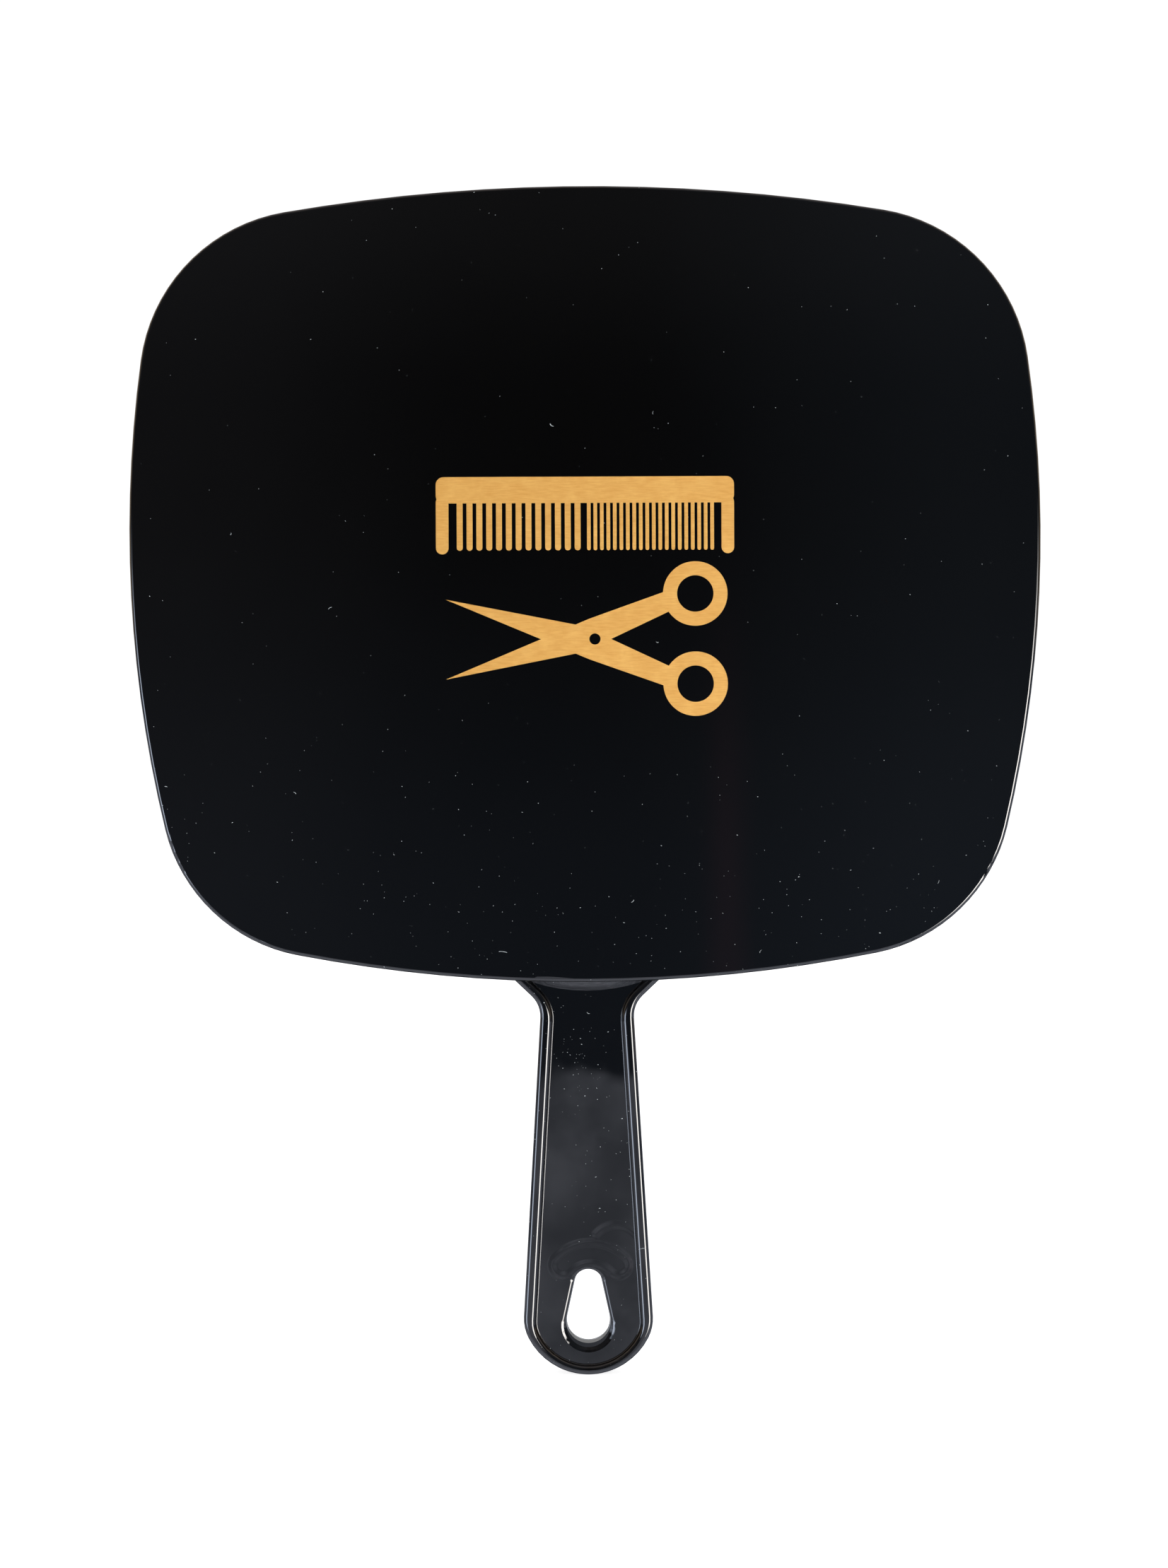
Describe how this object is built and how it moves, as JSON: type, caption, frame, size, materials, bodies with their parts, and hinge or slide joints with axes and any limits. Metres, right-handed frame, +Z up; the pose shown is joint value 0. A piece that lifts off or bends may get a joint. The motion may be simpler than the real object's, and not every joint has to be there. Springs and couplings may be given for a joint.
{
  "type": "hand mirror",
  "caption": "Large salon hand mirror: a wide rounded head with a bezel, glass and clipped back cover, on a short rimmed grip with a teardrop hanging hole.",
  "frame": {"origin": "middle of the grip: halfway along it, across it and through it", "axes": "+Z up the grip to the head, +Y the way the glass faces, so -Y is the back; +X to the right when the back is seen"},
  "size_m": [0.26, 0.0115, 0.3393],
  "materials": {
    "frame_plastic": "moulded gloss black, with fine dust and hairlines",
    "cover_plastic": "high gloss black, flat",
    "mirror_glass": "polished float glass with ground edges",
    "silver": "silvered",
    "backing_paint": "dull protective paint",
    "foam": "closed-cell foam tape",
    "gold_foil": "satin gold foil"
  },
  "bodies": {
    "root": {"frame": "frame_plastic", "back_cover": "cover_plastic", "mirror_glass": "mirror_glass", "silver_coat": "silver", "backing_paint": "backing_paint", "emblem_comb": "gold_foil", "emblem_scissors": "gold_foil", "foam_pad_1": "foam", "foam_pad_2": "foam", "foam_pad_3": "foam", "foam_pad_4": "foam", "foam_pad_5": "foam", "foam_pad_6": "foam"}
  },
  "joints": []
}
